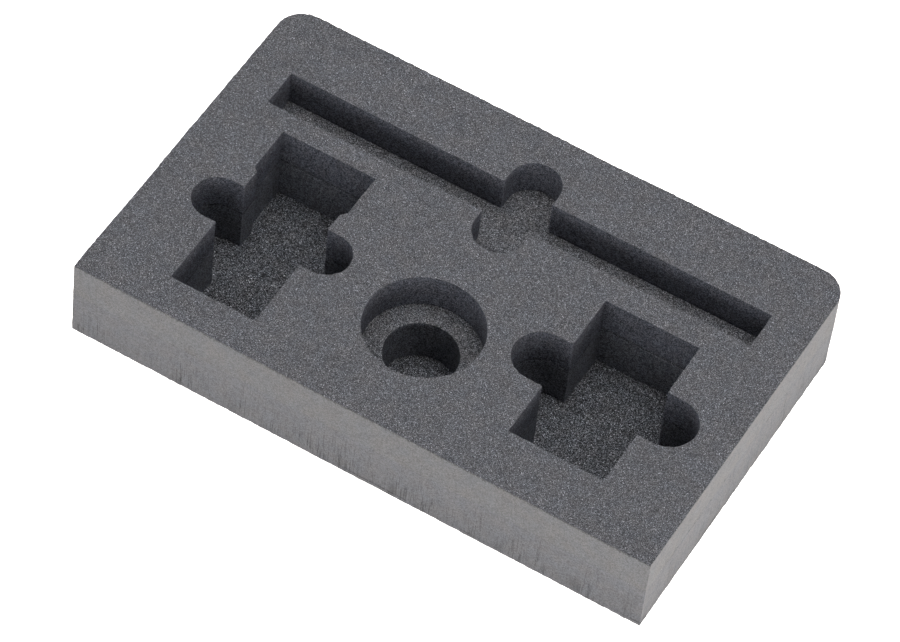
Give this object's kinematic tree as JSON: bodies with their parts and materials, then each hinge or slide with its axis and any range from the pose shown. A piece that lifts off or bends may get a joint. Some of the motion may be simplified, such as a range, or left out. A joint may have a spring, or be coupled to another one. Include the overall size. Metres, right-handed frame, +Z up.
{
  "type": "tool foam insert",
  "caption": "Laminated foam block whose rod channel, boxed pockets with finger notches and stepped bore hold tools flat in a case or drawer.",
  "frame": {"origin": "centre of the underside", "axes": "+X along the length to the right end, +Y towards the side with the rounded corners, +Z up out of the nests"},
  "size_m": [0.3, 0.19, 0.046],
  "materials": {
    "top_foam": "charcoal fine-cell polyethylene foam, skived face with bright cut cells, smooth knife-cut sides",
    "middle_foam": "charcoal fine-cell polyethylene foam, skived face with bright cut cells, sides with faint upright knife lines",
    "base_foam": "dark charcoal fine-cell polyethylene foam, skived face with bright cut cells"
  },
  "bodies": {
    "root": {"top_sheet": "top_foam", "middle_sheet": "middle_foam", "base_sheet": "base_foam"}
  },
  "joints": []
}
